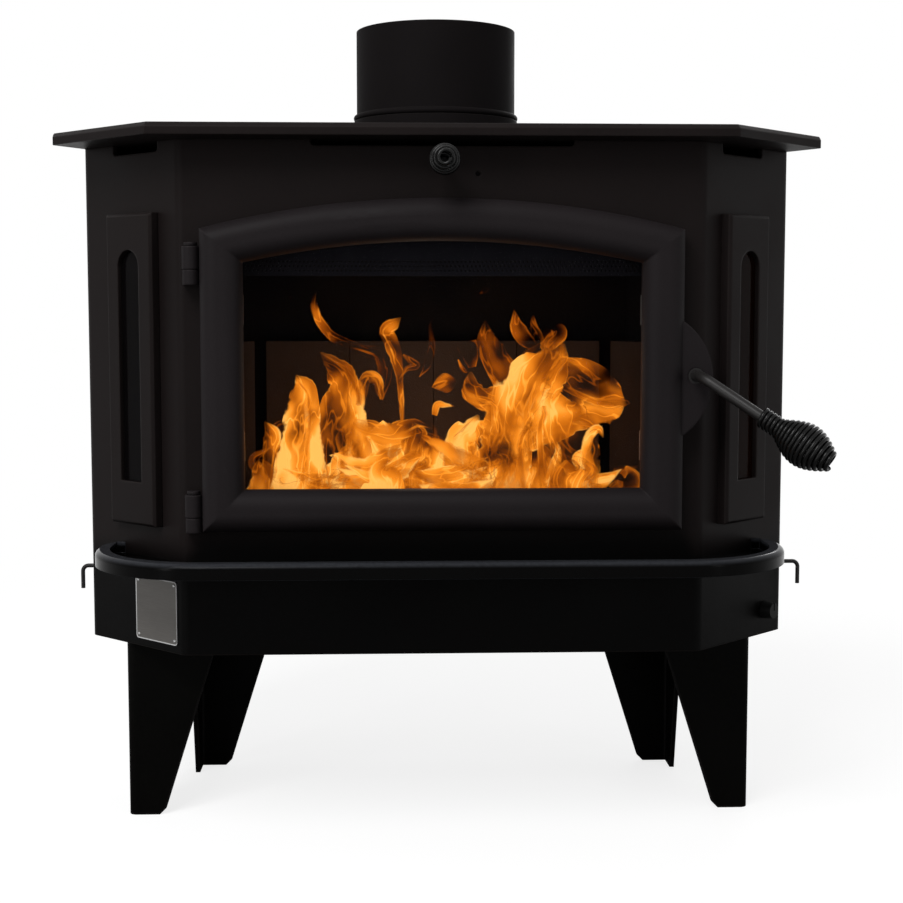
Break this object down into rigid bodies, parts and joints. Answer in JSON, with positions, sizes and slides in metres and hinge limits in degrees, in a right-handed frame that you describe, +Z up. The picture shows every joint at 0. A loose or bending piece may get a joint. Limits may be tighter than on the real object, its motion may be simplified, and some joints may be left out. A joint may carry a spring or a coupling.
{
  "type": "wood burning stove",
  "caption": "Free-standing wood stove on bent-plate legs, with an arched glass door, angled side windows, rounded ash shelf, bypass pull, blower and a flue outlet on top.",
  "frame": {"origin": "on the floor, under the middle of the stove's bounding box", "axes": "+Z up, the door faces -Y, +X to the right of someone facing the door"},
  "size_m": [0.908, 0.655, 0.967],
  "materials": {
    "stove_black": "satin black stove paint",
    "cast_black": "satin black stove paint on cast iron",
    "pipe_black": "satin black",
    "hot_steel": "bare steel dulled by heat",
    "plated_steel": "zinc plated",
    "rod_black": "semi-gloss black",
    "coil_wire": "glossy black spring wire",
    "firebrick": "rough fired clay",
    "ceramic": "unglazed ceramic",
    "door_glass": "clear ceramic glass",
    "window_glass": "smoked ceramic glass",
    "rope_seal": "woven glass fibre",
    "blower_grey": "dull grey",
    "knob_black": "matt black"
  },
  "bodies": {
    "stove": {"air_guides": "hot_steel", "air_wash_guard": "hot_steel", "ash_shelf": "stove_black", "baffle": "hot_steel", "blower_grille": "blower_grey", "blower_motor": "blower_grey", "blower_scroll": "blower_grey", "body_shell": "stove_black", "bottom_plate": "stove_black", "bricks_back": "firebrick", "bricks_floor": "firebrick", "bricks_left": "firebrick", "bricks_right": "firebrick", "combustor": "ceramic", "damper_rails": "hot_steel", "firebox_floor": "hot_steel", "firebox_roof": "hot_steel", "firebox_walls": "hot_steel", "flue_collar": "stove_black", "flue_pipe": "pipe_black", "hinge_lugs": "stove_black", "hinge_pins": "plated_steel", "keeper_stud": "plated_steel", "leg_bolts": "plated_steel", "leg_front_left": "stove_black", "leg_front_right": "stove_black", "leg_rear_left": "stove_black", "leg_rear_right": "stove_black", "rear_panel": "stove_black", "speed_control": "knob_black", "top_plate": "stove_black", "window_frame_left": "stove_black", "window_frame_right": "stove_black", "window_gasket_left": "rope_seal", "window_gasket_right": "rope_seal", "window_glass_left": "window_glass", "window_glass_right": "window_glass"},
    "door": {"door_frame": "cast_black", "door_glass": "door_glass", "glass_gasket": "rope_seal", "door_rope": "rope_seal", "glass_clips": "plated_steel", "clip_screws": "plated_steel", "door_knuckles": "cast_black", "handle_bushing": "plated_steel"},
    "handle": {"handle_shaft": "rod_black", "handle_grip": "coil_wire", "latch_cam": "plated_steel", "cam_nut": "plated_steel"},
    "bypass": {"bypass_rod": "rod_black", "bypass_grip": "coil_wire", "damper_plate": "hot_steel"},
    "air_slide_left": {"air_rod_left": "rod_black", "air_shutter_left": "hot_steel"},
    "air_slide_right": {"air_rod_right": "rod_black", "air_shutter_right": "hot_steel"},
    "speed_knob": {"blower_knob": "knob_black"},
    "fan": {"blower_wheel": "blower_grey", "blower_shaft": "plated_steel"}
  },
  "joints": [
    {"name": "door_hinge", "type": "hinge", "parent": "stove", "child": "door", "pos_m": [-0.2845, -0.18648, 0.55], "axis": [0, 0, -1], "range_deg": [0, 110]},
    {"name": "handle_turn", "type": "hinge", "parent": "door", "child": "handle", "pos_m": [0.287, -0.19248, 0.538], "axis": [0, -1, 0], "range_deg": [0, 75]},
    {"name": "bypass_slide", "type": "slide", "parent": "stove", "child": "bypass", "axis": [0, -1, 0], "range_m": [0, 0.09]},
    {"name": "air_left_slide", "type": "slide", "parent": "stove", "child": "air_slide_left", "axis": [-1, 0, 0], "range_m": [0, 0.03]},
    {"name": "air_right_slide", "type": "slide", "parent": "stove", "child": "air_slide_right", "axis": [1, 0, 0], "range_m": [-0.011, 0.019]},
    {"name": "speed_turn", "type": "hinge", "parent": "stove", "child": "speed_knob", "pos_m": [0.40062, -0.07136, 0.244], "axis": [0.7071, -0.7071, 0], "range_deg": [0, 270]},
    {"name": "fan_spin", "type": "hinge", "parent": "stove", "child": "fan", "pos_m": [0.05, 0.25252, 0.27], "axis": [1, 0, 0], "continuous": true}
  ]
}
